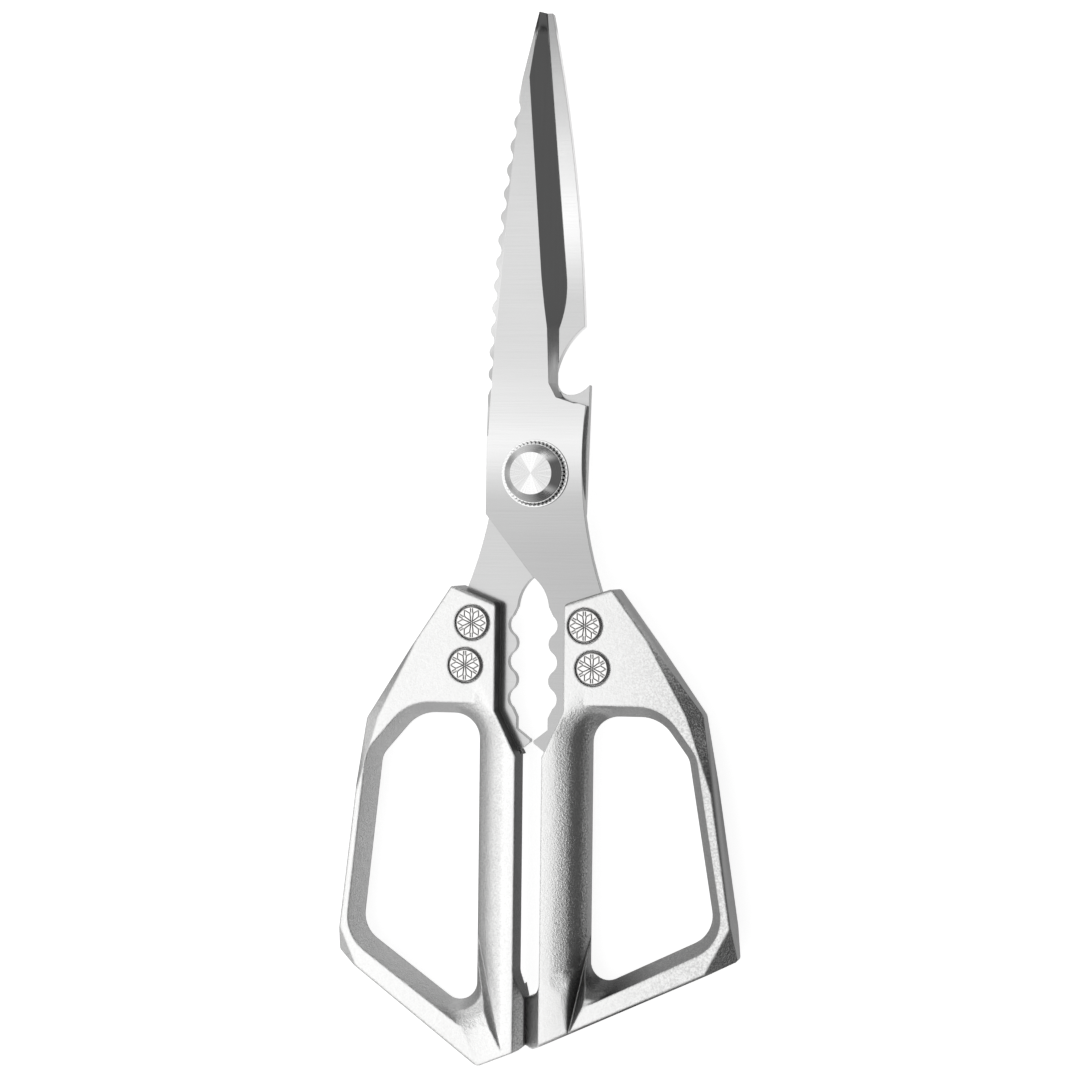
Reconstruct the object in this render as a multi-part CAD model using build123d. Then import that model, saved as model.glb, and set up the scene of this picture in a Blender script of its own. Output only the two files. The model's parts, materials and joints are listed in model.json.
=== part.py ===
from build123d import *
import math
import os

# Kitchen shears, lying flat and closed. +Y points to the tips, +Z out of the decorated side.
# The origin is on the pivot axis, in the plane that the shears rest on.

overrun = 1.0                   # how far a cutter runs past what it cuts

# Stack along the pivot
handle_thickness = 11.0
blade_thickness = 2.5
running_gap = 0.05              # between the two blades
slot_clearance = 0.05           # round a tang in its handle

# Blades, measured from the pivot axis
blade_reach = 98.4              # pivot to tips
tip_x = 1.0                     # where the cutting edges meet
tip_width = 1.2
tip_overlap = 0.3               # how far the rear edge stands behind the front one at the tip
edge_land = 0.3                 # flat left under the cutting bevel
heel_y = 41.8                   # where the straight cutting edge ends
choil_top = 31.0                # narrow stretch between heel and pivot face
choil_foot = 19.3
choil_radius = 4.0
pivot_face_top = 14.5
pivot_face_foot = 8.7
heel_bow = 0.6                  # how far the sweep from heel to choil bows out
waist_set_in = 0.7              # how far the sides of the pivot face are drawn in
bevel_width = 5.0
bevel_tip_width = 0.9
bevel_shoulder_width = 4.4      # near the tip, where the bevel has all but its full width
bevel_shoulder_share = 0.86     # height of that place
choil_bevel_width = 1.6
bevel_turn_share = 0.33         # how far the bevel has narrowed halfway from heel to choil
bevel_choil_share = 0.75        # and where the choil begins
choil_runout_share = 0.75       # how far round the choil's foot the bevel still goes
bevel_overrun_share = 0.3       # how far a bevel's slope runs on past its two lines

front_heel_x = 5.9
front_choil_x = 4.3
front_edge_side = 10.8          # pivot face, to the side of the cutting edge
front_spine_side = 10.7         # pivot face, to the side of the spine
front_spine_start = 10.0        # height at which the spine starts to draw in

rear_heel_x = 4.5
rear_choil_x = 4.8
rear_edge_side = 10.4
rear_spine_side = 10.0
rear_spine_start = 25.0
rear_foot_side = 10.4           # the same side where the pivot face ends

# Scalloped spine of the front blade
scallop_top = 80.3              # height of the topmost crest
scallop_foot = 16.6             # and of the lowest
scallop_pitch = 4.9
scallop_ease_share = 0.06       # the crests stand a little wider apart near the tip
scallop_depth = 1.0
spine_bevel_width = 1.6         # at its widest
spine_bevel_depth = 0.5
spine_bevel_top = 84.0
spine_bevel_foot = 8.0
spine_bevel_steps = 8

# Bottle opener in the spine of the rear blade
opener_top = 31.5
opener_x = 3.6                  # how near the notch comes to the pivot's line
opener_waist = 20.9
opener_floor_x = 6.8
opener_floor = 16.9
opener_bow = 1.2                # how far the upper side of the notch bows up
hook_x = 11.2
hook_y = 19.0

# Tangs and nutcracker teeth
gap_x = -0.35                   # middle of the gap between the tangs
apex_y = 21.9                   # where the pivot faces part
tooth_set_off = 3.7             # from the middle of the gap to the crests
tooth_top = 28.4
tooth_pitch = 7.9
tooth_depth = 1.9
tooth_count = 3
throat_share = 0.75             # width of the gap halfway from the apex to the teeth
tang_shelf = 2.5                # straight stretch below the last crest
tang_nose_y = 57.2              # the rounded noses that close the gap
tang_nose_set_off = 0.4
tang_nose_round = 0.9
nose_set_in = 0.25              # how far the rounding stays inside the sharp nose
tang_foot_y = 59.9
front_neck_x = 14.5             # outer edges as the tangs enter the handles
rear_neck_x = 15.1
tang_neck_y = 24.7
neck_set_in = 0.4               # how far the necks are drawn in
tang_width_x = 18.3
tang_heel_y = 46.0
tang_end_x = 9.5
tang_end_y = 54.5

# Handles, measured out from the pivot axis and down from it
block_top = 27.7
block_foot = 50.6
bar_top = 60.2
pad_top = 112.0
pad_foot = 122.2
pad_x = 1.1                     # the stop pads meet this far to the left of the pivot
right_pad_slope = 1.4           # how much higher each pad's upper side starts, where it leaves the bar
left_pad_slope = 5.5
right_pad_round = 3.5           # rounding of the corner between bar and pad
left_pad_round = 6.0
edge_break = 0.5
bar_round = 3.4                 # back edge of each bar, along the gap
hole_flare = 2.5                # how far the hole opens towards each face
right_bar_flare = 8.0           # the same towards the bar, which is rounded
left_bar_flare = 6.8
flare_steps = 4
valley_width = 6.5              # where the rounded bar runs on below the hole
valley_top = 98.0
right_valley_end = (8.9, -119.5)  # where each valley runs out, on both faces
left_valley_end = (-5.4, -123.0)
shoulder_start_share = 0.35     # the shoulder facets along the sides that they join
shoulder_end_share = 0.34
shoulder_set_in = 3.2
shoulder_drop = 2.9
foot_drop = 3.5
right_foot_reach = 7.6          # foot facet, along the two sides that it joins
left_foot_reach = 5.8
right_pad_slope_z = 6.0         # height at which the front slope of each pad ends
left_pad_slope_z = 8.5

right_block_x = 7.3
right_bar_x = 2.7
right_neck_x = 17.5
right_neck_y = 24.3
right_shoulder_x = 36.9
right_shoulder_y = 50.8
right_foot_x = 44.7
right_foot_y = 102.3
right_toe_x = 0.8
right_toe_y = 122.7

left_block_x = 7.7
left_bar_x = 3.0
left_neck_x = 17.3
left_neck_y = 23.9
left_shoulder_x = 36.4
left_shoulder_y = 52.8
left_foot_x = 42.0
left_foot_y = 103.0
left_heel_x = 10.8
left_heel_y = 126.5
left_toe_x = 1.9
left_toe_y = 122.8

corner_round = 1.0
foot_round = 0.7
shoulder_round = 2.0

# Finger holes at the middle of the handle's thickness, where they are narrowest
hole_top = 51.5
right_hole_bar_x = 12.9
right_hole_top_x = 27.2
right_hole_shoulder_x = 33.6
right_hole_shoulder_y = 60.2
right_hole_foot_x = 39.6
right_hole_foot_y = 96.9
right_hole_toe_y = 109.9

left_hole_bar_x = 12.0
left_hole_top_x = 25.4
left_hole_shoulder_x = 33.4
left_hole_shoulder_y = 60.9
left_hole_foot_x = 37.3
left_hole_foot_y = 98.4
left_hole_toe_y = 116.6

hole_bar_round = 5.6
hole_toe_round = 3.8
hole_foot_round = 6.5
hole_shoulder_round = 4.5
hole_top_round = 8.0

# Pivot bolt, washer and nut
bolt_head_diameter = 13.0
journal_diameter = 8.0
collar_diameter = 7.4           # keyed, for the washer
journal_clearance = 0.05
key_clearance = 0.02
key_flat_set_in = 0.9           # how far each flat is cut into the round
thread_diameter = 6.0
thread_clearance = 0.05
washer_diameter = 14.4
washer_thickness = 0.5
knurl_diameter = 13.9
knurl_height = 1.5
knurl_count = 48
knurl_depth = 0.7
knurl_chamfer = 0.6
boss_base_diameter = 12.4
boss_top_diameter = 9.0
boss_height = 2.6
boss_roof = 1.1                 # metal left over the end of the bolt
edge_round = 0.3                # chamfer on the heads of bolt and rivets

# Handle rivets
rivet_head_diameter = 7.0
rivet_recess_clearance = 0.3
rivet_recess_depth = 0.9
rivet_head_proud = 0.3
rivet_socket_diameter = 5.0
rivet_bore = 3.1
rivet_pin_clearance = 0.05
rivet_socket_floor = 1.3
rivet_pin_gap = 0.3             # under the end of the pin
right_rivets = {"upper": (11.8, -32.2), "lower": (13.5, -41.2)}
left_rivets = {"upper": (-12.7, -31.9), "lower": (-14.1, -41.0)}

# Heights that follow
mid_z = handle_thickness / 2
rear_top = mid_z - running_gap / 2
rear_base = rear_top - blade_thickness
front_base = mid_z + running_gap / 2
front_top = front_base + blade_thickness
washer_top = front_top + washer_thickness
nut_top = washer_top + knurl_height + boss_height
bolt_end = nut_top - boss_roof


def prism(edges, base, top):
    """A closed outline raised from one height to another."""
    return extrude(Pos(0, 0, base) * make_face(edges), amount=top - base, dir=(0, 0, 1))


def disc(diameter, base, top, spot=(0, 0)):
    return prism([Pos(*spot) * Edge.make_circle(diameter / 2)], base, top)


def joined(shape):
    """The one solid of a shape that booleans left in a compound."""
    return shape.solids().sort_by(SortBy.VOLUME)[-1]


def between(a, b, share):
    return (a[0] + (b[0] - a[0]) * share, a[1] + (b[1] - a[1]) * share)


def toward(start, end, distance):
    return between(start, end, distance / math.dist(start, end))


def spine_x(side, start, height):
    """Distance of a spine from the pivot's line: it draws in from start to the tip as a parabola."""
    drawn_in = (height - start) / (blade_reach - start)
    return side - (side - tip_width) * drawn_in ** 2


def scallop_line():
    """The wave of the front blade's spine, from the topmost crest down to the last hollow."""
    points = []
    steps = 2 * round((scallop_top - scallop_foot) / scallop_pitch)
    for step in range(steps + 1):
        along = step / steps
        eased = along + scallop_ease_share * along * (1 - along)
        height = scallop_top - (scallop_top - scallop_foot) * eased
        depth = scallop_depth * (step % 2)
        points.append((depth - spine_x(front_spine_side, front_spine_start, height), height))
    return points


def wave(points):
    """A wave through crests and hollows by turns: an arc over each, between the middles of the flanks."""
    middles = [between(a, b, 1 / 2) for a, b in zip(points, points[1:])]
    arcs = [ThreePointArc(*three) for three in zip(middles, points[1:], middles[1:])]
    return [Line(points[0], middles[0]), *arcs, Line(middles[-1], points[-1])]


def tooth_line(side, edge_x):
    """The wave of nutcracker teeth down one tang. side is 1 for the right tang and -1 for the left."""
    points = []
    for step in range(2 * tooth_count + 1):
        out = tooth_set_off + tooth_depth * (step % 2)
        points.append((edge_x + side * out, -tooth_top - step * tooth_pitch / 2))
    return points


def tang_back(side, neck_x):
    """The outer edge of a tang inside its handle, from the neck down to the foot."""
    return [
        (side * neck_x, -tang_neck_y),
        (side * tang_width_x, -(tang_neck_y + tang_heel_y) / 2),
        (side * tang_width_x, -tang_heel_y),
        (side * tang_end_x, -tang_end_y),
        (gap_x + side * tooth_set_off, -tang_foot_y),
    ]


def tang_edges(side, neck_x, start):
    """From start, down the outside of a tang, round its foot and up its teeth to the apex."""
    teeth = tooth_line(side, gap_x)
    back = tang_back(side, neck_x)
    nose = (gap_x + side * tang_nose_set_off, -tang_nose_y)
    shelf = (teeth[-1][0], teeth[-1][1] - tang_shelf)
    nose_low = toward(nose, back[-1], tang_nose_round)
    nose_high = toward(nose, shelf, tang_nose_round)
    nose_tip = toward(nose, between(nose_low, nose_high, 1 / 2), nose_set_in)
    throat = (gap_x + side * tooth_set_off * throat_share, -(apex_y + (tooth_top - apex_y) / 2))
    neck_middle = between(start, back[0], 1 / 2)
    return [
        ThreePointArc(start, (neck_middle[0] - side * neck_set_in, neck_middle[1]), back[0]),
        Polyline(*back, nose_low),
        ThreePointArc(nose_low, nose_tip, nose_high),
        Polyline(nose_high, shelf, teeth[-1]),
        *wave(teeth[::-1]),
        ThreePointArc(teeth[0], throat, (gap_x, -apex_y)),
    ]


def front_blade_outline():
    tip_edge = (tip_x, blade_reach)
    tip_spine = (tip_x - tip_width, blade_reach)
    heel = (front_heel_x, heel_y)
    choil_high = (front_choil_x, choil_top)
    choil_low = (front_choil_x, choil_foot)
    heel_bulge = ((front_heel_x + front_choil_x) / 2 + heel_bow, (heel_y + choil_top) / 2)
    choil_end = (front_choil_x + choil_radius, choil_foot - choil_radius)
    choil_mid = choil_middle(1, front_choil_x)
    top_corner = (front_edge_side, pivot_face_top)
    low_corner = (front_edge_side, -pivot_face_foot)
    waist = (front_edge_side - waist_set_in, (pivot_face_top - pivot_face_foot) / 2)
    spine_foot = (-front_spine_side, -pivot_face_foot)
    spine_head = (-front_spine_side, front_spine_start)
    scallops = scallop_line()
    return [
        Line(tip_spine, tip_edge),
        Line(tip_edge, heel),
        ThreePointArc(heel, heel_bulge, choil_high),
        Line(choil_high, choil_low),
        ThreePointArc(choil_low, choil_mid, choil_end),
        Line(choil_end, top_corner),
        ThreePointArc(top_corner, waist, low_corner),
        *tang_edges(1, front_neck_x, low_corner),
        Line((gap_x, -apex_y), spine_foot),
        Line(spine_foot, spine_head),
        Line(spine_head, scallops[-1]),
        *wave(scallops[::-1]),
        Line(scallops[0], tip_spine),
    ]


def choil_middle(side, choil_x):
    """The middle of the quarter round at the foot of a choil."""
    lag = choil_radius * (1 - math.sqrt(1 / 2))
    return (side * (choil_x + lag), choil_foot - choil_radius + lag)


def rear_blade_outline():
    tip_edge = (tip_x - tip_overlap, blade_reach)
    tip_spine = (tip_x + tip_width, blade_reach)
    heel = (-rear_heel_x, heel_y)
    choil_low = (-rear_choil_x, choil_foot)
    choil_end = (-rear_choil_x - choil_radius, choil_foot - choil_radius)
    choil_mid = choil_middle(-1, rear_choil_x)
    top_corner = (-rear_edge_side, pivot_face_top)
    low_corner = (-rear_edge_side, -pivot_face_foot)
    spine_foot = (rear_foot_side, -pivot_face_foot)
    hook = (hook_x, hook_y)
    notch_waist = (opener_x, opener_waist)
    notch_top = (spine_x(rear_spine_side, rear_spine_start, opener_top), opener_top)
    notch_middle = between(notch_waist, notch_top, 1 / 2)
    notch_bow = (notch_middle[0] - opener_bow / 2, notch_middle[1] + opener_bow)
    spine_mid_y = (opener_top + blade_reach) / 2
    spine_mid = (spine_x(rear_spine_side, rear_spine_start, spine_mid_y), spine_mid_y)
    return [
        Line(tip_edge, heel),
        Line(heel, choil_low),
        ThreePointArc(choil_low, choil_mid, choil_end),
        Line(choil_end, top_corner),
        Line(top_corner, low_corner),
        *tang_edges(-1, rear_neck_x, low_corner),
        Line((gap_x, -apex_y), spine_foot),
        Line(spine_foot, hook),
        Spline(hook, (opener_floor_x, opener_floor), notch_waist, tangents=[(-1, -1), (0, 1)]),
        ThreePointArc(notch_waist, notch_bow, notch_top),
        ThreePointArc(notch_top, spine_mid, tip_spine),
        Line(tip_spine, tip_edge),
    ]


def bevel_cutter(edge_points, face_points, edge_z, face_z, far_x):
    """What a ground bevel takes away: all that lies beyond the ruled slope between two lines.

    The slope runs on past both lines, so that the cut is clean at the edge and at the face.
    """
    sections = []
    for share in (-bevel_overrun_share, 1 + bevel_overrun_share):
        points = [between(e, f, share) for e, f in zip(edge_points, face_points)]
        closing = [(far_x, points[-1][1]), (far_x, points[0][1])]
        height = edge_z + (face_z - edge_z) * share
        sections.append(Pos(0, 0, height) * make_face(Polyline(*points, *closing, close=True)))
    return loft(sections, ruled=True)


def cutting_bevel(side, heel_x, choil_x, edge_z, face_z):
    """The cutting bevel of one blade. side is 1 where it is ground on the right and -1 on the left."""
    slope = (side * heel_x - tip_x) / (blade_reach - heel_y)
    full_y = blade_reach * bevel_shoulder_share
    full_x = tip_x + slope * (blade_reach - full_y)
    above = blade_reach + overrun
    run_out = choil_foot - choil_radius
    edge_points = [
        (tip_x - slope * overrun, above),
        (full_x, full_y),
        (side * heel_x, heel_y),
        (side * ((heel_x + choil_x) / 2 + heel_bow), (heel_y + choil_top) / 2),
        (side * choil_x, choil_top),
        (side * choil_x, choil_foot),
        choil_middle(side, choil_x),
        (side * (choil_x + choil_radius), run_out),
    ]
    heel_bevel = side * (heel_x - bevel_width)
    choil_bevel = side * (choil_x - choil_bevel_width)
    bevel_points = [
        (tip_x - side * bevel_tip_width, above),
        (full_x - side * bevel_shoulder_width, full_y),
        (heel_bevel, heel_y),
        (heel_bevel + (choil_bevel - heel_bevel) * bevel_turn_share, (heel_y + choil_top) / 2),
        (heel_bevel + (choil_bevel - heel_bevel) * bevel_choil_share, choil_top),
        (choil_bevel, choil_foot),
        (choil_bevel + side * choil_bevel_width, choil_foot - choil_radius * choil_runout_share),
        (side * (choil_x + choil_radius), run_out - edge_land),
    ]
    far_x = side * (front_spine_side + rear_spine_side)
    return bevel_cutter(edge_points, bevel_points, edge_z, face_z, far_x)


def spine_bevel():
    """The shallow slope along the scallops of the front blade."""
    crest = []
    inner = []
    for step in range(spine_bevel_steps + 1):
        height = spine_bevel_top - (spine_bevel_top - spine_bevel_foot) * step / spine_bevel_steps
        x = -spine_x(front_spine_side, front_spine_start, height)
        swell = math.sin(math.pi * step / spine_bevel_steps)
        crest.append((x, height))
        inner.append((x + edge_land + (spine_bevel_width - edge_land) * swell, height))
    return bevel_cutter(crest, inner, front_top - spine_bevel_depth, front_top, -2 * front_spine_side)


def round_key(diameter, base, top):
    """A round with two flats, which keys the bolt to what it passes through."""
    flats = Box(diameter - 2 * key_flat_set_in, diameter, top - base)
    return disc(diameter, base, top) & Pos(0, 0, (base + top) / 2) * flats


def rivet_holes(spots, base, top):
    bore = rivet_socket_diameter + 2 * rivet_pin_clearance
    return [disc(bore, base - overrun, top + overrun, spot) for spot in spots.values()]


def front_blade():
    blade = prism(front_blade_outline(), front_base, front_top)
    blade -= cutting_bevel(1, front_heel_x, front_choil_x, front_base + edge_land, front_top)
    blade -= spine_bevel()
    bore = journal_diameter + 2 * journal_clearance
    blade -= disc(bore, front_base - overrun, front_top + overrun)
    return joined(blade - rivet_holes(right_rivets, front_base, front_top))


def rear_blade():
    blade = prism(rear_blade_outline(), rear_base, rear_top)
    blade -= cutting_bevel(-1, rear_heel_x, rear_choil_x, rear_top - edge_land, rear_base)
    blade -= round_key(journal_diameter + 2 * key_clearance, rear_base - overrun, rear_top + overrun)
    return joined(blade - rivet_holes(left_rivets, rear_base, rear_top))


def grown(corners, grows):
    """Corners of a polygon whose sides have each moved out by their own amount."""
    count = len(corners)
    middle = Vector(sum(x for x, y in corners), sum(y for x, y in corners)) / count
    sides = []
    for index, grow in enumerate(grows):
        start = Vector(*corners[index])
        along = (Vector(*corners[(index + 1) % count]) - start).normalized()
        out = Vector(along.Y, -along.X)
        if out.dot(start - middle) < 0:
            out = -out
        sides.append((start + out * grow, along))
    moved = []
    for index in range(count):
        (p, d), (q, e) = sides[index - 1], sides[index]
        reach = ((q.X - p.X) * e.Y - (q.Y - p.Y) * e.X) / (d.X * e.Y - d.Y * e.X)
        moved.append((p.X + d.X * reach, p.Y + d.Y * reach))
    return moved


def bar_curve(flare):
    """The rounding of a bar from halfway up to its face: how far it has drawn back at each height."""
    turns = [step / flare_steps * math.pi / 2 for step in range(flare_steps + 1)]
    return [(flare * (1 - math.cos(turn)), mid_z * math.sin(turn)) for turn in turns]


def hole_section(corners, radii, flare, rounding, height):
    """The finger hole at one height. Its first side, along the bar, follows the rounding."""
    moved = grown(corners, [rounding] + [flare] * (len(corners) - 1))
    rounds = [radius + min(flare, rounding) for radius in radii]
    return Pos(0, 0, height) * make_face(FilletPolyline(*moved, radius=rounds, close=True))


def finger_hole(corners, radii, bar_flare):
    """The hole's cutter: narrowest halfway, sloped out to both faces and rounded along the bar."""
    upper = []
    lower = []
    for rounding, rise in bar_curve(bar_flare):
        flare = hole_flare * rise / mid_z
        upper.append(hole_section(corners, radii, flare, rounding, mid_z + rise))
        lower.append(hole_section(corners, radii, flare, rounding, mid_z - rise))
    past = [hole_section(corners, radii, hole_flare, bar_flare, height)
            for height in (-overrun, handle_thickness + overrun)]
    return loft([past[0], *lower[:0:-1], *upper, past[1]], ruled=True)


def pyramid(section, apex):
    """The solid between a flat outline and a point."""
    sides = [make_face(Polyline(a, b, apex, close=True)) for a, b in zip(section, section[1:] + section[:1])]
    return Solid(Shell([make_face(Polyline(*section, close=True)), *sides]))


def bar_valleys(side, hole_x, bar_flare, end):
    """Cutters that carry the rounding of a bar on below its hole, to a point on each face."""
    cutters = []
    for up in (1, -1):
        face_z = mid_z + up * mid_z
        profile = [(side * (hole_x - back), mid_z + up * rise) for back, rise in bar_curve(bar_flare)]
        above = face_z + up * overrun
        far_x = side * (hole_x + valley_width)
        profile += [(profile[-1][0], above), (far_x, above), (far_x, face_z)]
        section = [(x, -valley_top, z) for x, z in profile]
        cutters.append(pyramid(section, (*end, face_z)))
    return cutters


def facet(a, b, c, inside):
    """Cutter for a flat facet through three points, on the side away from a point inside.

    It reaches as far past each point as that point is from their middle.
    """
    first = Vector(*a)
    normal = (Vector(*b) - first).cross(Vector(*c) - first).normalized()
    if normal.dot(Vector(*inside) - first) > 0:
        normal = -normal
    centre = (first + Vector(*b) + Vector(*c)) / 3
    reach = 2 * max((Vector(*point) - centre).length for point in (a, b, c)) + handle_thickness
    block = Box(2 * reach, 2 * reach, reach, align=(Align.CENTER, Align.CENTER, Align.MIN))
    return Plane(origin=centre, x_dir=(Vector(*b) - first).normalized(), z_dir=normal) * block


def both_faces(points, inside):
    """The same facet on the front face and on the back face of a handle."""
    mirrored = [(x, y, handle_thickness - z) for x, y, z in points]
    return [facet(*points, inside), facet(*mirrored, inside)]


def outer_facets(neck, shoulder, foot, toe, foot_reach, inside):
    """The two facets over the shoulder and the one at the foot of a handle, on both faces."""
    top = handle_thickness
    start = between(neck, shoulder, shoulder_start_share)
    end = between(shoulder, foot, shoulder_end_share)
    inner = toward(shoulder, between(start, end, 1 / 2), shoulder_set_in)
    ridge = (shoulder[0], shoulder[1], top - shoulder_drop)
    above = toward(foot, shoulder, foot_reach)
    beside = toward(foot, toe, foot_reach)
    return [
        *both_faces([(*start, top), (*inner, top), ridge], inside),
        *both_faces([(*inner, top), (*end, top), ridge], inside),
        *both_faces([(*above, top), (*beside, top), (foot[0], foot[1], top - foot_drop)], inside),
    ]


def pad_slopes(side, bar_x, slope_z, inside):
    """The slopes on both faces of a stop pad, from the line of the bar down to the meeting face."""
    low = [(-pad_x, -pad_top, slope_z), (-pad_x, -pad_foot, slope_z)]
    return both_faces([*low, (side * bar_x, -pad_foot, handle_thickness)], inside)


def edge_breaks(corners, inside):
    """Narrow chamfers along the convex outer edges of a handle."""
    cutters = []
    top = handle_thickness
    for a, b in zip(corners, corners[1:]):
        middle = between(a, b, 1 / 2)
        set_in = toward(middle, inside[:2], edge_break)
        shift = (set_in[0] - middle[0], set_in[1] - middle[1])
        line = [(a[0] + shift[0], a[1] + shift[1], top), (b[0] + shift[0], b[1] + shift[1], top)]
        cutters += both_faces([*line, (*middle, top - edge_break)], inside)
    return cutters


def tang_slot(side, edge_side, neck_x, base, top):
    """The slot for a tang, open at the top of the handle and along the gap."""
    back = tang_back(side, neck_x)
    start = (side * edge_side, -pivot_face_foot)
    face = make_face(Polyline(start, *back, (gap_x, -tang_foot_y), (gap_x, -pivot_face_foot), close=True))
    grown_face = offset(face, amount=slot_clearance, kind=Kind.INTERSECTION)
    return extrude(Pos(0, 0, base - slot_clearance) * grown_face, amount=top - base + 2 * slot_clearance,
                   dir=(0, 0, 1))


def rivet_recesses(spots):
    diameter = rivet_head_diameter + 2 * rivet_recess_clearance
    cutters = []
    front = handle_thickness - rivet_recess_depth
    for spot in spots.values():
        cutters.append(disc(diameter, front, handle_thickness + overrun, spot))
        cutters.append(disc(diameter, -overrun, rivet_recess_depth, spot))
    return cutters


def bar_rounding(side, bar_x):
    """Cutter that rounds the back edge of a bar along the gap."""
    length = pad_top - bar_top
    middle_y = -(pad_top + bar_top) / 2
    corner = Box(bar_round + overrun, length, bar_round + overrun)
    place = Pos(side * (bar_x + (bar_round - overrun) / 2), middle_y, (bar_round - overrun) / 2)
    round_bar = Pos(side * (bar_x + bar_round), middle_y, bar_round) * Rot(90, 0, 0)
    return place * corner - round_bar * Cylinder(bar_round, length + overrun)


def handle(side, outline, radii, outer, foot_reach, hole, bar_flare, valley_end, slot, spots, bar_x,
           slope_z):
    """One handle. Its outer corners run from the inner top one, down the outside, to the toe."""
    inside = (*between(outer[1], outer[3], 1 / 2), mid_z)
    body = prism(FilletPolyline(*outline, radius=radii, close=True).edges(), 0, handle_thickness)
    body -= outer_facets(*outer[1:], foot_reach, inside)
    body -= pad_slopes(side, bar_x, slope_z, inside)
    body -= edge_breaks(outer, inside)
    body -= finger_hole(hole, hole_radii, bar_flare)
    body -= bar_valleys(side, abs(hole[0][0]), bar_flare, valley_end)
    body -= slot
    body -= rivet_holes(spots, 0, handle_thickness)
    body -= rivet_recesses(spots)
    return joined(body - bar_rounding(side, bar_x))


hole_radii = [hole_bar_round, hole_toe_round, hole_foot_round, hole_shoulder_round, hole_top_round]


def right_handle():
    inner = (right_block_x, -block_top)
    neck = (right_neck_x, -right_neck_y)
    shoulder = (right_shoulder_x, -right_shoulder_y)
    foot = (right_foot_x, -right_foot_y)
    toe = (right_toe_x, -right_toe_y)
    outline = [
        inner, neck, shoulder, foot, toe,
        (running_gap - pad_x, -pad_foot), (running_gap - pad_x, -pad_top),
        (right_bar_x, -pad_top + right_pad_slope), (right_bar_x, -bar_top), (right_block_x, -block_foot),
    ]
    radii = [
        corner_round, corner_round, shoulder_round, foot_round, shoulder_round, 0, 0, right_pad_round, 0, 0,
    ]
    hole = [
        (right_hole_bar_x, -hole_top), (right_hole_bar_x, -right_hole_toe_y),
        (right_hole_foot_x, -right_hole_foot_y), (right_hole_shoulder_x, -right_hole_shoulder_y),
        (right_hole_top_x, -hole_top),
    ]
    slot = tang_slot(1, front_edge_side, front_neck_x, front_base, front_top)
    outer = [inner, neck, shoulder, foot, toe]
    return handle(1, outline, radii, outer, right_foot_reach, hole, right_bar_flare, right_valley_end, slot,
                  right_rivets, right_bar_x, right_pad_slope_z)


def left_handle():
    inner = (-left_block_x, -block_top)
    neck = (-left_neck_x, -left_neck_y)
    shoulder = (-left_shoulder_x, -left_shoulder_y)
    foot = (-left_foot_x, -left_foot_y)
    heel = (-left_heel_x, -left_heel_y)
    outline = [
        inner, neck, shoulder, foot, heel, (-left_toe_x, -left_toe_y),
        (-pad_x, -pad_foot), (-pad_x, -pad_top),
        (-left_bar_x, -pad_top + left_pad_slope), (-left_bar_x, -bar_top), (-left_block_x, -block_foot),
    ]
    radii = [
        corner_round, corner_round, shoulder_round, foot_round, shoulder_round, 0, 0, 0, left_pad_round, 0, 0,
    ]
    hole = [
        (-left_hole_bar_x, -hole_top), (-left_hole_bar_x, -left_hole_toe_y),
        (-left_hole_foot_x, -left_hole_foot_y), (-left_hole_shoulder_x, -left_hole_shoulder_y),
        (-left_hole_top_x, -hole_top),
    ]
    slot = tang_slot(-1, rear_edge_side, rear_neck_x, rear_base, rear_top)
    outer = [inner, neck, shoulder, foot, heel]
    return handle(-1, outline, radii, outer, left_foot_reach, hole, left_bar_flare, left_valley_end, slot,
                  left_rivets, left_bar_x, left_pad_slope_z)


def pivot_bolt():
    """Head, keyed shank, round journal, keyed collar for the washer, and threaded end."""
    head = disc(bolt_head_diameter, 0, rear_base)
    head = chamfer(head.edges().group_by(Axis.Z)[0], length=edge_round)
    bolt = head + round_key(journal_diameter, rear_base, front_base)
    bolt += disc(journal_diameter, front_base, front_top)
    bolt += round_key(collar_diameter, front_top, washer_top)
    bolt += disc(thread_diameter, washer_top, bolt_end)
    return joined(bolt)


def pivot_washer():
    hole = round_key(collar_diameter + 2 * key_clearance, front_top - overrun, washer_top + overrun)
    return joined(disc(washer_diameter, front_top, washer_top) - hole)


def toothed(depth, drawn_in, height):
    """An outline with a tooth for each ridge of the knurl, drawn in from the knurl's full reach."""
    points = []
    for step in range(2 * knurl_count):
        radius = knurl_diameter / 2 - drawn_in - depth * (step % 2)
        angle = math.pi * step / knurl_count
        points.append((radius * math.cos(angle), radius * math.sin(angle)))
    return Pos(0, 0, height) * make_face(Polyline(*points, close=True))


def pivot_nut():
    """Knurled flange under a tapered boss, closed on top. A ring of flats slopes off its ridges."""
    flange_top = washer_top + knurl_height
    shoulder = flange_top - knurl_chamfer
    knurl = extrude(toothed(knurl_depth, 0, washer_top), amount=knurl_height, dir=(0, 0, 1))
    crown = [toothed(0, -overrun, shoulder - overrun), toothed(0, knurl_chamfer, flange_top)]
    knurl &= loft(crown, ruled=True)
    taper = [(0, 0), (boss_base_diameter / 2, 0), (boss_top_diameter / 2, boss_height), (0, boss_height)]
    boss_face = Plane.XZ * make_face(Polyline(*taper, close=True))
    boss = Pos(0, 0, flange_top) * revolve(boss_face, Axis.Z)
    bore = disc(thread_diameter + 2 * thread_clearance, washer_top - overrun, bolt_end)
    return joined(knurl + boss - bore)


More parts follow.
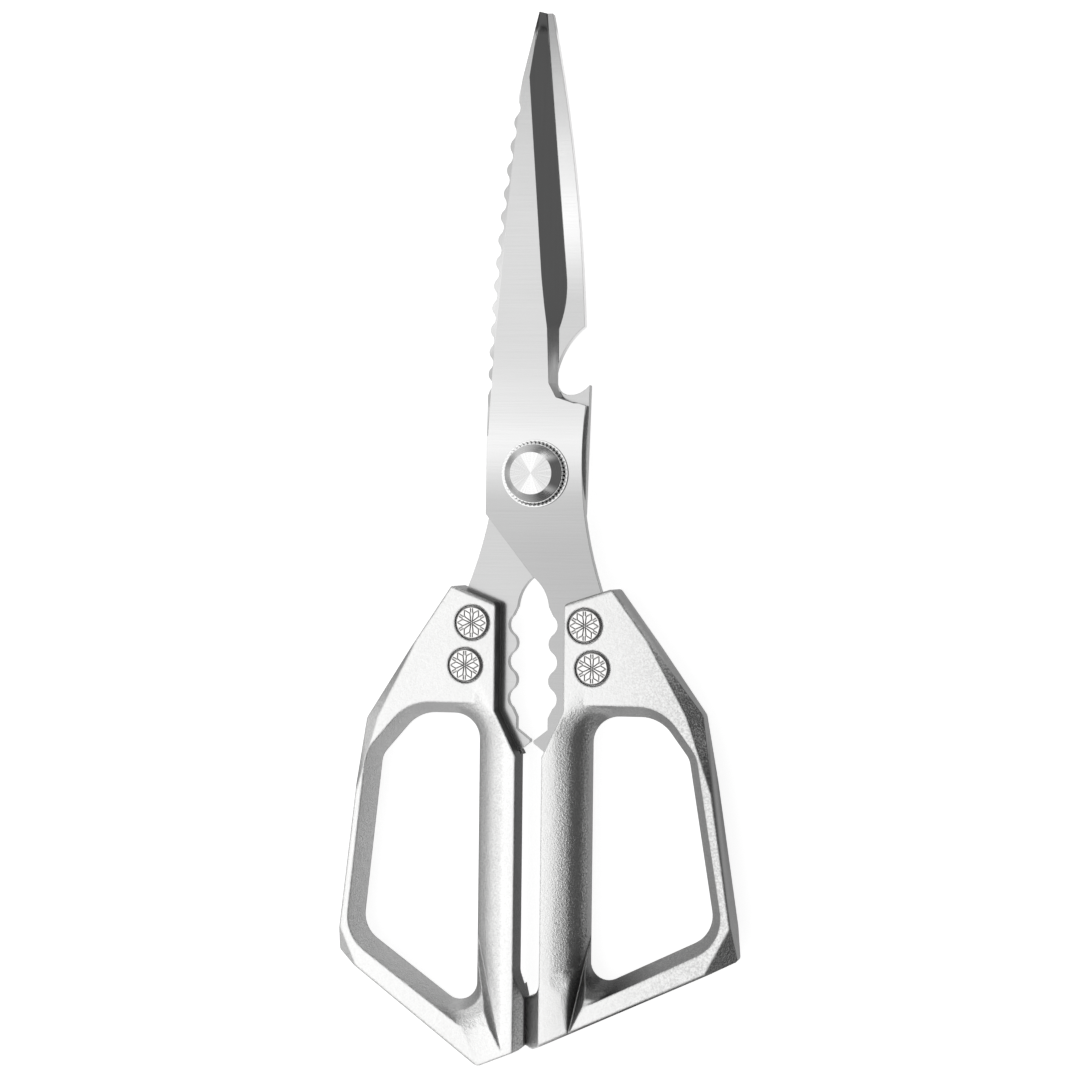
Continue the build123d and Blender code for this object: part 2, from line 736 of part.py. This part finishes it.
def rivet(spot):
    """Front half of a cutlery rivet: head in its recess, pin down into the socket."""
    seat = handle_thickness - rivet_recess_depth
    head = disc(rivet_head_diameter, seat, handle_thickness + rivet_head_proud, spot)
    head = chamfer(head.edges().group_by(Axis.Z)[-1], length=edge_round)
    pin = disc(rivet_bore - 2 * rivet_pin_clearance, rivet_socket_floor + rivet_pin_gap, seat, spot)
    return joined(head + pin)


def rivet_socket(spot):
    """Back half: plain head flush with the back of the handle, and the tube that takes the pin."""
    seat = handle_thickness - rivet_recess_depth
    head = disc(rivet_head_diameter, 0, rivet_recess_depth, spot)
    tube = disc(rivet_socket_diameter, rivet_recess_depth, seat, spot)
    return joined(head + tube - disc(rivet_bore, rivet_socket_floor, seat + overrun, spot))


pieces = {
    "front_blade": front_blade(),
    "rear_blade": rear_blade(),
    "right_handle": right_handle(),
    "left_handle": left_handle(),
    "pivot_bolt": pivot_bolt(),
    "pivot_washer": pivot_washer(),
    "pivot_nut": pivot_nut(),
}
for hand, spots in (("right", right_rivets), ("left", left_rivets)):
    for place, spot in spots.items():
        pieces[f"{hand}_{place}_rivet"] = rivet(spot)
        pieces[f"{hand}_{place}_rivet_socket"] = rivet_socket(spot)

os.makedirs("parts", exist_ok=True)
for name, piece in pieces.items():
    export_step(piece, f"parts/{name}.step")
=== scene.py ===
import json
import math

import bpy
from mathutils import Matrix, Vector

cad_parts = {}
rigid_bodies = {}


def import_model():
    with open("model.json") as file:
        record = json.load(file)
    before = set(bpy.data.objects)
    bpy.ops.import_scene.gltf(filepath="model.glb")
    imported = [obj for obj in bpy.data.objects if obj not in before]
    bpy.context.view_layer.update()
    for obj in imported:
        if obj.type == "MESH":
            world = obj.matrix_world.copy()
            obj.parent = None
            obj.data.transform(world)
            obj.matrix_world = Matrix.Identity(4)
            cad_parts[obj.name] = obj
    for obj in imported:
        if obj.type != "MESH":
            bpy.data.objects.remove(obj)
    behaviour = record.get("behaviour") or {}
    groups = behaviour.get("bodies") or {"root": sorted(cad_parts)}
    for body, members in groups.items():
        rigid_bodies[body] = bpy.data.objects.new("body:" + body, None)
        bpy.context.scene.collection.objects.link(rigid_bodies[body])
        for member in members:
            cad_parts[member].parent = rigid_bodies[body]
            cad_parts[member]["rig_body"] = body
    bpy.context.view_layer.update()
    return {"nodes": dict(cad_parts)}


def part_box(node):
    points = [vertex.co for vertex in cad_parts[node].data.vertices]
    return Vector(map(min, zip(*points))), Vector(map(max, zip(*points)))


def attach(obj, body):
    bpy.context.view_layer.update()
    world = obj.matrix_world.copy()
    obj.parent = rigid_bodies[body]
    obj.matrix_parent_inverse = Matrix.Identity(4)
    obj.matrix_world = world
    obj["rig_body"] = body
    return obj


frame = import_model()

# Kitchen shears, closed and flat, blade tips towards +Y, decorated side up. Lengths are in metres.
nodes = frame["nodes"]
mm = 0.001

# Camera: above the shears, leaning a little to their right
camera_tilt = math.radians(12)
camera_roll = math.radians(0.67)
camera_distance = 650 * mm
camera_near = 10 * mm
camera_lens = 101.3                     # millimetres, as is the sensor
camera_sensor = 36.0
camera_target = Vector((0.7, -14.15, 5.5)) * mm

# Studio
softbox_centre = Vector((-0.69, -0.34, 1.0))
softbox_size = (1.74, 1.16)
softbox_radiance = 0.62
floor_size = 12.0
floor_albedo = 0.55
floor_roughness = 0.9
floor_glow = 0.87
world_left = 0.75
world_right = 0.12
world_fade = (-0.5, 0.25)               # from left to right, where the one turns into the other

# Edges: facets that meet at less than the sharp angle are one smooth surface
weld_distance = 0.001 * mm
sharp_angle = math.radians(29)
blade_sharp_angle = math.radians(12)    # the blades' bevels are shallow
cast_edge = 0.6 * mm                    # how softly light goes round an edge
blade_edge = 0.12 * mm
turned_edge = 0.1 * mm

# Grain, in waves per metre
sand_grain = 2600
fine_grain = 5200
pit_grain = 900
cast_clouds = 55
blade_clouds = 40
brushed_across = (60, 6000, 60)
ground_along = (5000, 40, 60)
turned_marks = 9000
usual_spread = (0.3, 0.7)               # most values of a noise lie between these
grain_spread = (0.25, 0.75)
line_spread = (0.2, 0.8)
sand_depth = 0.1 * mm                   # how deep each grain is
fine_depth = 0.05 * mm
pit_depth = 0.06 * mm
brushed_depth = 0.002 * mm
turned_depth = 0.004 * mm
worn_depth = 0.01 * mm

# Handles. A tone is the share of light that the metal throws back, and level is 1 on a flat face
face_tone = (0.94, 0.94, 0.935, 1)
# The slope and wall tones are painted shade, laid on by which way a surface faces
left_slope_painted_shade = 0.46
right_slope_painted_shade = 0.34
wall_painted_shade = 0.3
# painted shadow on the walls of the gap between the handles
gap_wall_painted_shadow = 0.06
# painted light on the right pad's slope
right_pad_painted_light = 0.98
cast_tint = 0.6
cast_roughness = (0.3, 0.4)
slope_levels = (0.4, 0.9)               # slopes turn into faces between these
wall_levels = (0.05, 0.4)               # and walls into slopes
flat_levels = (0.985, 0.999)            # flat faces lose most of their grain between these
flat_grain = 0.35
sand_shift = 0.3                        # how far the grain breaks up the border of a tone
sand_lean = 1.6                         # the same for slopes to one side, as a multiple
middle_lean = (0.3, 0.42)               # painted shade on slopes to the right is darkest from here
middle_shade = 0.55
steep_lean = (0.66, 0.86)               # and paler again from here
steep_shade = 0.85
left_lean = (-0.45, -0.02)              # painted shade on slopes to the left
left_shade = 0.8
gap_half_width = 8.5 * mm
meeting_x = -1.1 * mm                   # where the stop pads meet
left_pad_x = -3.1 * mm                  # where the left pad's slope starts
right_pad_x = 2.75 * mm                 # where the painted light on the right pad's slope ends
outer_x = 20 * mm                       # right slopes beyond this are the loop's outer facets
outer_lean = (0.1, 0.3)
shoulder_y = (-50 * mm, -36 * mm)       # over which the painted shade on these facets turns pale towards the blades
shoulder_painted_shades = (0.14, 0.48)
shoulder_shade = 0.66
sandy_x = (14 * mm, 34 * mm)            # over which the right rim turns sandy
hole_corner = Vector((15, -113, 9)) * mm
corner_reach = (4 * mm, 18 * mm)        # how far the painted shade in that corner of the right hole goes
corner_shade = 0.3
corner_levels = (0.88, 0.98)            # level faces are left out of it

# Blades. The tones run along each blade, in millimetres from the pivot; their bright and dark bands are
# painted highlights and painted shade
front_blade_painted_bands = [
    (-60, 0.48), (-18, 0.47), (-8, 0.5), (7, 0.79), (14, 0.72), (28, 0.64), (93, 0.64), (95, 0.08)]
rear_blade_painted_bands = [
    (-60, 0.6), (-10, 0.57), (35, 0.59), (55, 0.9), (67, 0.83), (80, 0.7), (98, 0.56)]
blade_foot = -60 * mm
blade_top = 98.4 * mm
blade_roughness = (0.15, 0.2)
blade_flat_levels = (0.985, 0.998)
bevel_tone = 0.72
bevel_levels = (0.35, 0.97)             # sides turn into bevels between these
# painted shade on the blades' sides, dark below and paler towards the tip
blade_side_painted_shades = (0.12, 0.6)
blade_side_y = (20 * mm, 32 * mm)       # over which the painted shade on the sides turns pale towards the tip
tip_y = (93.5 * mm, 95.5 * mm)          # over which the tip turns dark with painted shade
tip_painted_shade = 0.08

# Nut and washer
disc_radius = 4.5 * mm                  # end of the nut
groove_radius = 6.25 * mm               # foot of its knurl's grooves
rim_radius = 6.65 * mm                  # the washer is left bright from here outwards
washer_top = 8.55 * mm
nut_roughness = (0.2, 0.3)
nut_anisotropy = 0.7
nut_tone = 0.97
end_fan = (0.3, 0.75)                   # sideways from the middle, where painted shade darkens the end
end_shade = 0.8
taper_fan = (0.55, 0.92)                # and where painted shade darkens the taper
# painted shade on the taper, pale to the left and dark to the right
taper_left_painted_shade = 0.42
taper_right_painted_shade = 0.09
knurl_levels = (0.2, 0.55)              # grooves turn into ridges between these
ridge_tone = 0.95
# painted shade on the knurl's flanks
knurl_flank_painted_shade = 0.02
# nearly black on the washer under the knurl
under_knurl_tone = 0.01

# Rivet heads. The places in the rosette are shares of its radius
rivet_tone = (0.99, 0.98, 0.97, 1)
# painted shade on the sides of the heads
rivet_side_painted_shade = 0.3
rivet_levels = (0.3, 0.95)              # sides turn into faces between these
rivet_roughness = (0.22, 0.36)
oxide_tone = 0.02
rosette_radius = 3.42 * mm
rosette_base = 0.05 * mm                # how far the rosette is let into the plain head
rosette_relief = 0.16 * mm
rosette_petals = 6
rosette_groove = 0.038                  # half width of an engraved line
rosette_rings = 44
rosette_spokes = 168
bud_radius = 0.07
petal_root = 0.1
petal_widest = 0.56
petal_tip = 0.9
petal_half_width = 0.2
tick_root = 0.62
tick_tip = 0.9
tick_offset = 0.065
ring_radius = 0.98


def node(tree, kind, inputs=None, family="ShaderNode", **settings):
    """Adds a node. An input that is a socket is linked, anything else is set."""
    made = tree.nodes.new(family + kind)
    for key, value in settings.items():
        setattr(made, key, value)
    for key, value in (inputs or {}).items():
        if isinstance(value, bpy.types.NodeSocket):
            tree.links.new(value, made.inputs[key])
        else:
            made.inputs[key].default_value = value
    return made


def calc(tree, operation, a, b=0.0):
    return node(tree, "Math", {0: a, 1: b}, operation=operation).outputs[0]


def within(tree, value, low, high):
    """1 where the value lies between two limits, and 0 elsewhere."""
    above = calc(tree, "GREATER_THAN", value, low)
    return calc(tree, "MULTIPLY", above, calc(tree, "LESS_THAN", value, high))


def remap(tree, value, low, high, to_low=0.0, to_high=1.0):
    """Goes softly from one value to another while the given one goes from low to high."""
    inputs = {"Value": value, "From Min": low, "From Max": high, "To Min": to_low, "To Max": to_high}
    return node(tree, "MapRange", inputs, interpolation_type="SMOOTHSTEP").outputs["Result"]


def remap_straight(tree, value, low, high):
    return node(tree, "MapRange", {"Value": value, "From Min": low, "From Max": high}).outputs["Result"]


def grey(tone):
    return (tone, tone, tone, 1)


def mix(tree, share, a, b):
    """A colour between a and b. Its sockets are numbered, because each kind of value has its own."""
    return node(tree, "Mix", {0: share, 6: a, 7: b}, data_type="RGBA").outputs[2]


def darken(tree, tone, factor):
    return node(tree, "Mix", {0: 1.0, 6: tone, 7: factor}, data_type="RGBA", blend_type="MULTIPLY").outputs[2]


def noise(tree, place, scale, detail=2.0):
    return node(tree, "TexNoise", {"Vector": place, "Scale": scale, "Detail": detail}).outputs["Fac"]


def stretched(tree, place, scale):
    """The same place, drawn out along the axes where scale is small, for grain that runs one way."""
    return node(tree, "Mapping", {"Vector": place, "Scale": scale}).outputs[0]


def varied(tree, pattern, low, high, spread=usual_spread):
    """A factor that goes from low to high with a noise."""
    return remap(tree, pattern, *spread, low, high)


def new_metal(name):
    """An empty metal: its tree and shader, and the place on the object."""
    material = bpy.data.materials.new(name)
    material.use_nodes = True
    tree = material.node_tree
    shader = tree.nodes["Principled BSDF"]
    shader.inputs["Metallic"].default_value = 1.0
    return material, tree, shader, node(tree, "TexCoord").outputs["Object"]


def levelness(tree):
    """1 where the surface faces straight up or down, 0 where it is upright."""
    normal = node(tree, "TexCoord").outputs["Normal"]
    return calc(tree, "ABSOLUTE", node(tree, "SeparateXYZ", {0: normal}).outputs[2])


def soft_edges(tree, radius):
    """The normal with every sharp edge rounded off."""
    return node(tree, "Bevel", {"Radius": radius}, samples=6).outputs[0]


def bump(tree, height, distance, normal, strength=1.0):
    inputs = {"Strength": strength, "Distance": distance, "Height": height, "Normal": normal}
    return node(tree, "Bump", inputs).outputs[0]


def cast_metal():
    """Blasted and lightly polished cast alloy: bright faces, painted shade on its slopes and walls, sand
    between them.
    """
    material, tree, shader, place = new_metal("cast_metal")
    sand = noise(tree, place, sand_grain)
    fine = noise(tree, place, fine_grain)
    pits = noise(tree, place, pit_grain, 3)
    clouds = noise(tree, place, cast_clouds, 3)
    across, height, _ = node(tree, "SeparateXYZ", {0: place}).outputs

    # The grain shifts the slope that the tones go by, so they meet in sand and not along a line
    normal = soft_edges(tree, cast_edge)
    softened = node(tree, "VectorTransform", {0: normal}, vector_type="NORMAL",
                    convert_from="WORLD", convert_to="OBJECT").outputs[0]
    lean, _, rise = node(tree, "SeparateXYZ", {0: softened}).outputs
    shift = calc(tree, "MULTIPLY", calc(tree, "SUBTRACT", sand, 0.5), sand_shift)
    calm_level = calc(tree, "ABSOLUTE", rise)
    level = calc(tree, "ADD", calm_level, shift)
    lean = calc(tree, "ADD", lean, calc(tree, "MULTIPLY", shift, sand_lean))

    # Faces, and painted shade on the slopes
    low_tone, high_tone = shoulder_painted_shades
    facets = mix(tree, remap(tree, height, *shoulder_y), grey(low_tone), grey(high_tone))
    beyond = calc(tree, "GREATER_THAN", across, outer_x)
    outside = calc(tree, "MULTIPLY", beyond, remap(tree, lean, *outer_lean))
    slopes = mix(tree, outside, grey(right_slope_painted_shade), facets)
    slopes = mix(tree, calc(tree, "LESS_THAN", across, meeting_x), slopes, grey(left_slope_painted_shade))
    tone = mix(tree, remap(tree, level, *slope_levels), slopes, face_tone)

    # Painted shade: slopes to the right are darkest halfway down, slopes to the left a little darker than
    # level ones
    rightward_painted_shade = remap(tree, lean, *middle_lean, 1.0, middle_shade)
    rightward_painted_shade = mix(tree, remap(tree, lean, *steep_lean), rightward_painted_shade, grey(steep_shade))
    rightward_painted_shade = mix(tree, calc(tree, "LESS_THAN", across, left_pad_x), rightward_painted_shade, grey(1.0))
    tone = darken(tree, tone, rightward_painted_shade)
    tone = darken(tree, tone, remap(tree, lean, *left_lean, left_shade, 1.0))
    # Painted shade on the shoulder facets, darker downwards
    shoulder = remap(tree, height, *shoulder_y, shoulder_shade, 1.0)
    tone = darken(tree, tone, mix(tree, outside, grey(1.0), shoulder))
    # Painted light: the right pad's slope is made almost white
    tone = mix(tree, within(tree, across, meeting_x, right_pad_x), tone, grey(right_pad_painted_light))

    # Painted shade in the inner corner of the right hole, and painted shade on the walls, darkest on the
    # walls of the gap
    away = node(tree, "VectorMath", {0: place, 1: hole_corner}, operation="DISTANCE").outputs["Value"]
    corner = remap(tree, away, *corner_reach, corner_shade, 1.0)
    tone = darken(tree, tone, mix(tree, remap(tree, calm_level, *corner_levels), corner, grey(1.0)))
    near_gap = within(tree, across, -gap_half_width, meeting_x)
    walls = mix(tree, near_gap, grey(wall_painted_shade), grey(gap_wall_painted_shadow))
    tone = mix(tree, remap(tree, level, *wall_levels), walls, tone)

    # Wear and grain
    tone = darken(tree, tone, varied(tree, clouds, 0.97, 1.0))
    tone = darken(tree, tone, varied(tree, sand, 0.96, 1.02, grain_spread))
    sandy = varied(tree, sand, 0.78, 1.03)
    tone = darken(tree, tone, mix(tree, remap(tree, across, *sandy_x), grey(1.0), sandy))
    shader.inputs["Specular Tint"].default_value = grey(cast_tint)
    tree.links.new(tone, shader.inputs["Base Color"])
    tree.links.new(varied(tree, fine, *cast_roughness, grain_spread), shader.inputs["Roughness"])
    rough = remap(tree, calm_level, *flat_levels, 1.0, flat_grain)
    normal = bump(tree, fine, fine_depth, normal, rough)
    normal = bump(tree, sand, sand_depth, normal, rough)
    normal = bump(tree, pits, pit_depth, normal, rough)
    tree.links.new(normal, shader.inputs["Normal"])
    return material


def blade_steel(name, tones):
    """Satin stainless steel, brushed across, with painted highlights and painted shade in bands along its
    flat faces, and painted shade on its sides and tip. The bevels are finer and darker.
    """
    material, tree, shader, place = new_metal(name)
    level = levelness(tree)
    across = noise(tree, stretched(tree, place, brushed_across), 1.0, 3)
    along = noise(tree, stretched(tree, place, ground_along), 1.0, 3)
    clouds = noise(tree, place, blade_clouds, 2)
    height = node(tree, "SeparateXYZ", {0: place}).outputs[1]

    # Painted highlights and painted shade in bands along the flat faces
    ramp = node(tree, "ValToRGB", {0: remap_straight(tree, height, blade_foot, blade_top)})
    ramp.color_ramp.interpolation = "EASE"
    stops = ramp.color_ramp.elements
    while len(stops) < len(tones):
        stops.new(0.5)
    for stop, (y, tone) in zip(stops, tones):
        stop.position = (y * mm - blade_foot) / (blade_top - blade_foot)
        stop.color = grey(tone)

    # Painted shade on the sides and at the tip
    low_tone, high_tone = blade_side_painted_shades
    sides = mix(tree, remap(tree, height, *blade_side_y), grey(low_tone), grey(high_tone))
    tone = mix(tree, remap(tree, level, *bevel_levels), sides, grey(bevel_tone))
    tone = mix(tree, remap(tree, height, *tip_y), tone, grey(tip_painted_shade))
    flat = remap(tree, level, *blade_flat_levels)
    tone = mix(tree, flat, tone, ramp.outputs["Color"])
    lines = node(tree, "RGBToBW", {0: mix(tree, flat, along, across)}).outputs[0]
    tone = darken(tree, tone, varied(tree, lines, 0.97, 1.02, line_spread))
    tree.links.new(tone, shader.inputs["Base Color"])
    tree.links.new(varied(tree, clouds, *blade_roughness), shader.inputs["Roughness"])
    normal = soft_edges(tree, blade_edge)
    tree.links.new(bump(tree, lines, brushed_depth, normal), shader.inputs["Normal"])
    return material


def hardware_steel():
    """Turned steel: circular tool marks give part of the fan of light on the nut, and painted shade with
    painted streaks gives the rest; the knurl's flanks carry painted shade, and the washer under the knurl is
    nearly black.
    """
    material, tree, shader, place = new_metal("hardware_steel")
    level = levelness(tree)
    x, y, z = node(tree, "SeparateXYZ", {0: place}).outputs
    flat_place = node(tree, "CombineXYZ", {0: x, 1: y}).outputs[0]
    radius = node(tree, "VectorMath", {0: flat_place}, operation="LENGTH").outputs["Value"]
    marks = noise(tree, node(tree, "CombineXYZ", {0: radius}).outputs[0], turned_marks, 2)
    bearing = calc(tree, "ARCTAN2", calc(tree, "ABSOLUTE", y), x)
    painted_reflection_streaks = noise(tree, node(tree, "CombineXYZ", {0: bearing}).outputs[0], 9, 4)
    sideways = calc(tree, "DIVIDE", calc(tree, "ABSOLUTE", x), calc(tree, "MAXIMUM", radius, 0.1 * mm))

    # Painted shade: the nut's end and its taper are darker to both sides than up and down, with painted
    # streaks on the end and the taper darker to the right
    end = darken(tree, grey(nut_tone), remap(tree, sideways, *end_fan, 1.0, end_shade))
    end = darken(tree, end, varied(tree, painted_reflection_streaks, 0.86, 1.04))
    flank = mix(tree, calc(tree, "GREATER_THAN", x, 0.0), grey(taper_left_painted_shade), grey(taper_right_painted_shade))
    taper = mix(tree, remap(tree, sideways, *taper_fan), grey(nut_tone), flank)
    tone = mix(tree, calc(tree, "GREATER_THAN", radius, disc_radius), end, taper)

    # Painted shade on the knurl's flanks, and the washer below the knurl nearly black
    knurl = mix(tree, remap(tree, level, *knurl_levels), grey(knurl_flank_painted_shade), grey(ridge_tone))
    tone = mix(tree, calc(tree, "GREATER_THAN", radius, groove_radius), tone, knurl)
    low = calc(tree, "LESS_THAN", z, washer_top)
    below = calc(tree, "MULTIPLY", low, calc(tree, "LESS_THAN", radius, rim_radius))
    tone = mix(tree, below, tone, grey(under_knurl_tone))
    tree.links.new(tone, shader.inputs["Base Color"])
    tree.links.new(varied(tree, marks, *nut_roughness), shader.inputs["Roughness"])
    shader.inputs["Anisotropic"].default_value = nut_anisotropy
    tangent = node(tree, "Tangent", direction_type="RADIAL", axis="Z").outputs[0]
    tree.links.new(tangent, shader.inputs["Tangent"])
    normal = soft_edges(tree, turned_edge)
    tree.links.new(bump(tree, marks, turned_depth, normal), shader.inputs["Normal"])
    return material


def rivet_steel():
    """Polished rivet heads with dark oxide in the engraved lines and painted shade on their sides."""
    material, tree, shader, place = new_metal("rivet_steel")
    engraved = node(tree, "Attribute", attribute_name="engraved").outputs["Fac"]
    clouds = noise(tree, place, pit_grain, 3)
    # Painted shade on the heads' sides
    tone = mix(tree, remap(tree, levelness(tree), *rivet_levels), grey(rivet_side_painted_shade), rivet_tone)
    tone = mix(tree, engraved, tone, grey(oxide_tone))
    tree.links.new(tone, shader.inputs["Base Color"])
    tree.links.new(varied(tree, clouds, *rivet_roughness), shader.inputs["Roughness"])
    normal = soft_edges(tree, turned_edge)
    tree.links.new(bump(tree, clouds, worn_depth, normal), shader.inputs["Normal"])
    return material


def smooth_by_angle(name, angle_kept):
    """A node group that welds the facets of a solid and keeps only its real edges sharp."""
    group = bpy.data.node_groups.new(name, "GeometryNodeTree")
    for way in ("INPUT", "OUTPUT"):
        group.interface.new_socket("Geometry", in_out=way, socket_type="NodeSocketGeometry")
    start = group.nodes.new("NodeGroupInput").outputs[0]
    angle = node(group, "InputMeshEdgeAngle", family="GeometryNode").outputs["Unsigned Angle"]
    sharp = node(group, "Compare", {"A": angle, "B": angle_kept}, family="FunctionNode").outputs[0]
    inputs = {"Geometry": start, "Distance": weld_distance}
    welded = node(group, "MergeByDistance", inputs, family="GeometryNode").outputs[0]
    smooth = node(group, "SetShadeSmooth", {"Geometry": welded}, family="GeometryNode").outputs[0]
    inputs = {"Geometry": smooth, "Selection": sharp, "Shade Smooth": False}
    creased = node(group, "SetShadeSmooth", inputs, family="GeometryNode", domain="EDGE").outputs[0]
    group.links.new(creased, group.nodes.new("NodeGroupOutput").inputs[0])
    return group


cast = cast_metal()
front_steel = blade_steel("front_blade_steel", front_blade_painted_bands)
rear_steel = blade_steel("rear_blade_steel", rear_blade_painted_bands)
hardware = hardware_steel()
rivets = rivet_steel()
welding = smooth_by_angle("smooth_by_angle", sharp_angle)
blade_welding = smooth_by_angle("smooth_blade_by_angle", blade_sharp_angle)


def dress(name, material, group=welding):
    """Gives a carried-over solid its finish, smooth over its fine strips and crisp at its edges."""
    piece = nodes[name]
    piece.data.materials.clear()
    piece.data.materials.append(material)
    piece.modifiers.new("smooth_by_angle", "NODES").node_group = group


for name in nodes:
    if name == "front_blade":
        dress(name, front_steel, blade_welding)
    elif name == "rear_blade":
        dress(name, rear_steel, blade_welding)
    elif name.endswith("handle"):
        dress(name, cast)
    elif "rivet" in name:
        dress(name, rivets)
    else:
        dress(name, hardware)


def engraving(radius, angle):
    """How deep the rosette is cut at one place: petals, a bud and paired ticks, from 0 to 1."""
    turn = 2 * math.pi / rosette_petals
    swing = (angle + turn / 2) % turn - turn / 2
    along, across = radius * math.cos(swing), abs(radius * math.sin(swing))
    gaps = [abs(radius - bud_radius), abs(radius - ring_radius)]
    if petal_root < along < petal_tip:
        widening = (along - petal_root) / (petal_widest - petal_root)
        narrowing = (petal_tip - along) / (petal_tip - petal_widest)
        gaps.append(abs(across - petal_half_width * min(widening, narrowing)))
    between = turn / 2 - abs(swing)
    tick_along, tick_across = radius * math.cos(between), radius * math.sin(between)
    if tick_root < tick_along < tick_tip:
        gaps.append(abs(tick_across - tick_offset))
    return max(0.0, 1 - min(gaps) / rosette_groove)


def rosette(rivet_name):
    """The stamped ornament on a rivet head: a closed disc whose top carries the relief."""
    low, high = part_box(rivet_name)
    centre = ((low.x + high.x) / 2, (low.y + high.y) / 2)
    face = high.z
    points = [(*centre, face + rosette_relief)]
    depths = [engraving(0, 0)]
    for ring in range(1, rosette_rings + 1):
        share = ring / rosette_rings
        for spoke in range(rosette_spokes):
            angle = 2 * math.pi * spoke / rosette_spokes
            depth = engraving(share, angle)
            reach = share * rosette_radius
            points.append((centre[0] + reach * math.cos(angle), centre[1] + reach * math.sin(angle),
                           face + rosette_relief * (1 - depth)))
            depths.append(depth)
    rim = len(points) - rosette_spokes
    for spoke in range(rosette_spokes):
        x, y, _ = points[rim + spoke]
        points.append((x, y, face - rosette_base))
        depths.append(1.0)
    foot = rim + rosette_spokes
    faces = [(0, 1 + spoke, 1 + (spoke + 1) % rosette_spokes) for spoke in range(rosette_spokes)]
    for start in range(1, foot, rosette_spokes):
        outer = start + rosette_spokes
        for spoke in range(rosette_spokes):
            beside = (spoke + 1) % rosette_spokes
            faces.append((start + spoke, outer + spoke, outer + beside, start + beside))
    faces.append(tuple(range(foot + rosette_spokes - 1, foot - 1, -1)))
    mesh = bpy.data.meshes.new(rivet_name + "_rosette")
    mesh.from_pydata(points, [], faces)
    mesh.attributes.new("engraved", "FLOAT", "POINT").data.foreach_set("value", depths)
    mesh.materials.append(rivets)
    mesh.shade_smooth()
    piece = bpy.data.objects.new(mesh.name, mesh)
    bpy.context.scene.collection.objects.link(piece)
    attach(piece, nodes[rivet_name]["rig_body"])


for name in nodes:
    if name.endswith("rivet"):
        rosette(name)


def softbox(name, centre, size, radiance):
    """A lamp that faces straight down."""
    light = bpy.data.lights.new(name, "AREA")
    light.shape = "RECTANGLE"
    light.size, light.size_y = size
    light.energy = radiance * math.pi * size[0] * size[1]
    lamp = bpy.data.objects.new(name, light)
    lamp.location = centre
    bpy.context.scene.collection.objects.link(lamp)


def studio_floor():
    """A pale floor. Its glow lifts the background to white without adding light to the shears."""
    half = floor_size / 2
    corners = [(-half, -half, 0), (half, -half, 0), (half, half, 0), (-half, half, 0)]
    mesh = bpy.data.meshes.new("floor")
    mesh.from_pydata(corners, [], [(0, 1, 2, 3)])
    floor = bpy.data.objects.new("floor", mesh)
    bpy.context.scene.collection.objects.link(floor)
    material = bpy.data.materials.new("paper_floor")
    material.use_nodes = True
    tree = material.node_tree
    shader = tree.nodes["Principled BSDF"]
    shader.inputs["Base Color"].default_value = grey(floor_albedo)
    shader.inputs["Roughness"].default_value = floor_roughness
    shader.inputs["Specular IOR Level"].default_value = 0.0
    shader.inputs["Emission Color"].default_value = grey(1.0)
    path = node(tree, "LightPath").outputs
    seen = calc(tree, "MAXIMUM", path["Is Camera Ray"], path["Is Glossy Ray"])
    seen = calc(tree, "MAXIMUM", seen, path["Is Transmission Ray"])
    tree.links.new(calc(tree, "MULTIPLY", seen, floor_glow), shader.inputs["Emission Strength"])
    mesh.materials.append(material)


def studio_world():
    """Soft grey surroundings, pale to the left of the shears and dark to their right."""
    world = bpy.data.worlds.new("studio")
    bpy.context.scene.world = world
    world.use_nodes = True
    tree = world.node_tree
    place = node(tree, "TexCoord").outputs["Generated"]
    side = node(tree, "SeparateXYZ", {0: place}).outputs[0]
    tone = mix(tree, remap(tree, side, *world_fade), grey(world_left), grey(world_right))
    tree.links.new(tone, tree.nodes["Background"].inputs["Color"])


def photo_camera():
    """The photograph's view."""
    data = bpy.data.cameras.new("camera")
    data.lens = camera_lens
    data.sensor_width = camera_sensor
    data.clip_start = camera_near
    camera = bpy.data.objects.new("camera", data)
    turn = Matrix.Rotation(camera_roll, 4, "Z") @ Matrix.Rotation(camera_tilt, 4, "Y")
    back = turn @ Vector((0, 0, camera_distance))
    camera.matrix_world = Matrix.Translation(camera_target + back) @ turn
    bpy.context.scene.collection.objects.link(camera)
    bpy.context.scene.camera = camera


softbox("overhead", softbox_centre, softbox_size, softbox_radiance)
studio_floor()
studio_world()
photo_camera()
bpy.context.scene.view_settings.view_transform = "Standard"
